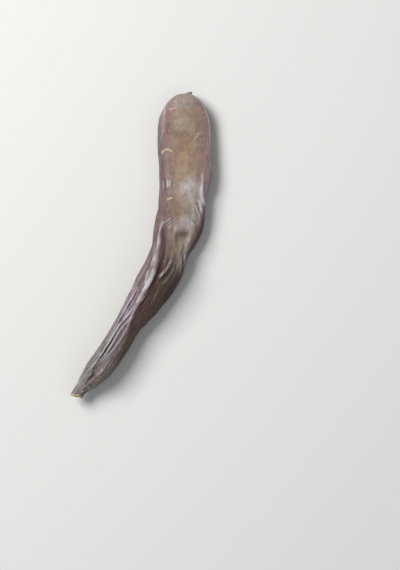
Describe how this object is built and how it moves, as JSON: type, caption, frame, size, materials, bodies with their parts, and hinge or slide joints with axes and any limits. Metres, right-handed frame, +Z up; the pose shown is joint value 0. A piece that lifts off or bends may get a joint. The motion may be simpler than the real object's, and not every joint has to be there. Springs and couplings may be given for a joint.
{
  "type": "carob pod",
  "caption": "Dry carob pod: a long flat legume with a small beak, its narrow stalk end bent aside and turned on edge, lying flat.",
  "frame": {"origin": "on the surface that the pod rests on, under the middle of its bounding box", "axes": "+Z up, +Y towards the beak along the straight part of the pod, +X to the right as seen from above"},
  "size_m": [0.0776, 0.1688, 0.0238],
  "materials": {
    "pod_skin": "dry leathery skin, waxy satin sheen"
  },
  "bodies": {
    "root": {"pod": "pod_skin"}
  },
  "joints": []
}
